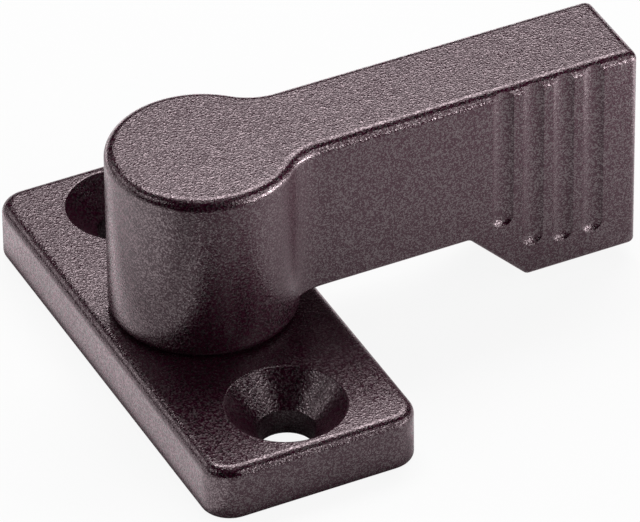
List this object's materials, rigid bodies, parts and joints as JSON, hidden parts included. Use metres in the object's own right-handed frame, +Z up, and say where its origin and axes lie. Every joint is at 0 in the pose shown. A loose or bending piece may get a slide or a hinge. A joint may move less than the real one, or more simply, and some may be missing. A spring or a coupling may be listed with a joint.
{
  "type": "quarter-turn latch",
  "caption": "Surface-mounted latch: an arm with a drop nose turns on a screw-down base plate and clicks into place every quarter turn.",
  "frame": {"origin": "on the base plate's underside, on the axis that the arm turns about, midway between the two screw holes", "axes": "+X along the latch arm at rest, from hub to nose; +Y along the base plate's long side; +Z up, out of the surface that the plate is screwed to"},
  "size_m": [0.0502, 0.0456, 0.022],
  "materials": {
    "coated_casting": "dark brown-black textured powder coat on a zinc die casting",
    "plated_steel": "zinc-plated steel",
    "ball_steel": "polished hardened steel",
    "spring_steel": "drawn spring steel wire"
  },
  "bodies": {
    "base": {"base_plate": "coated_casting", "thrust_washer": "plated_steel"},
    "arm": {"latch_arm": "coated_casting", "pivot_screw": "plated_steel", "detent_spring_front": "spring_steel", "detent_spring_rear": "spring_steel"},
    "ball_front": {"detent_ball_front": "ball_steel"},
    "ball_rear": {"detent_ball_rear": "ball_steel"}
  },
  "joints": [
    {"name": "latch_turn", "type": "hinge", "parent": "base", "child": "arm", "pos_m": [0, 0, 0], "axis": [0, 0, 1], "continuous": true},
    {"name": "ball_front_slide", "type": "slide", "parent": "arm", "child": "ball_front", "axis": [0, 0, 1], "range_m": [-0.00045, 0], "deforming": ["detent_spring_front"]},
    {"name": "ball_rear_slide", "type": "slide", "parent": "arm", "child": "ball_rear", "axis": [0, 0, 1], "range_m": [-0.00045, 0], "deforming": ["detent_spring_rear"]}
  ]
}
